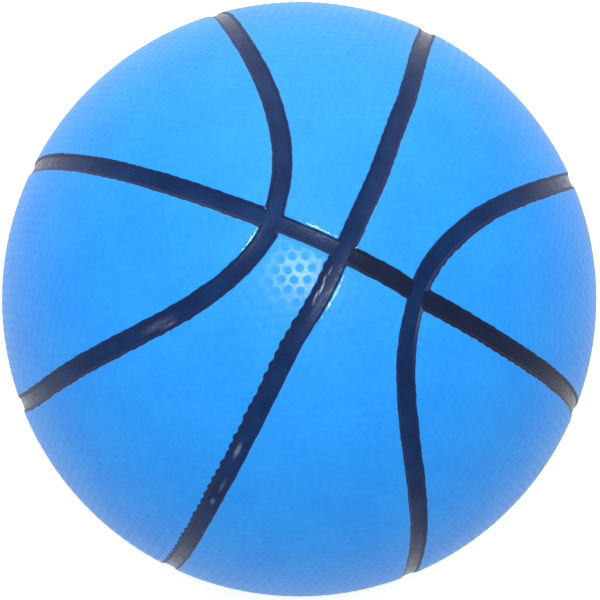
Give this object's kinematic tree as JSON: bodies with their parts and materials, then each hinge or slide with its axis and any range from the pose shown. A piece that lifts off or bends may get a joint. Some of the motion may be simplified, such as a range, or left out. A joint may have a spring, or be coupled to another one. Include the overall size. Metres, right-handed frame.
{
  "type": "rubber basketball",
  "caption": "Small pebbled rubber basketball: cover panels with dark seam strips between them, over a carcass, a thread winding and a bladder with a push-in needle valve.",
  "frame": {"origin": "centre of the ball", "axes": "+Z through the crossing of the centre seam and the cross seam, +X towards the right loop seam, +Y out of the valve"},
  "size_m": [0.18, 0.1797, 0.18],
  "materials": {
    "cover": "satin, pebbled",
    "seam": "gloss paint",
    "carcass": "matt",
    "winding": "wound nylon thread",
    "bladder": "satin",
    "valve": "satin",
    "plug": "satin"
  },
  "bodies": {
    "ball": {"bladder": "bladder", "valve_patch": "bladder", "valve_boot": "valve", "thread_winding": "winding", "carcass": "carcass", "centre_panel_left_front": "cover", "centre_panel_left_rear": "cover", "centre_panel_right_front": "cover", "centre_panel_right_rear": "cover", "side_panel_left_front": "cover", "side_panel_left_rear": "cover", "side_panel_right_front": "cover", "side_panel_right_rear": "cover", "cross_seam_top_left": "seam", "cross_seam_top_right": "seam", "cross_seam_bottom_left": "seam", "cross_seam_bottom_right": "seam", "cross_seam_left": "seam", "cross_seam_right": "seam", "centre_seam": "seam", "left_loop_seam": "seam", "right_loop_seam": "seam"},
    "valve_core": {"valve_plug": "plug"}
  },
  "joints": [
    {"name": "valve_plug_pull", "type": "slide", "parent": "ball", "child": "valve_core", "axis": [0, 1, 0], "range_m": [0, 0.022]}
  ]
}
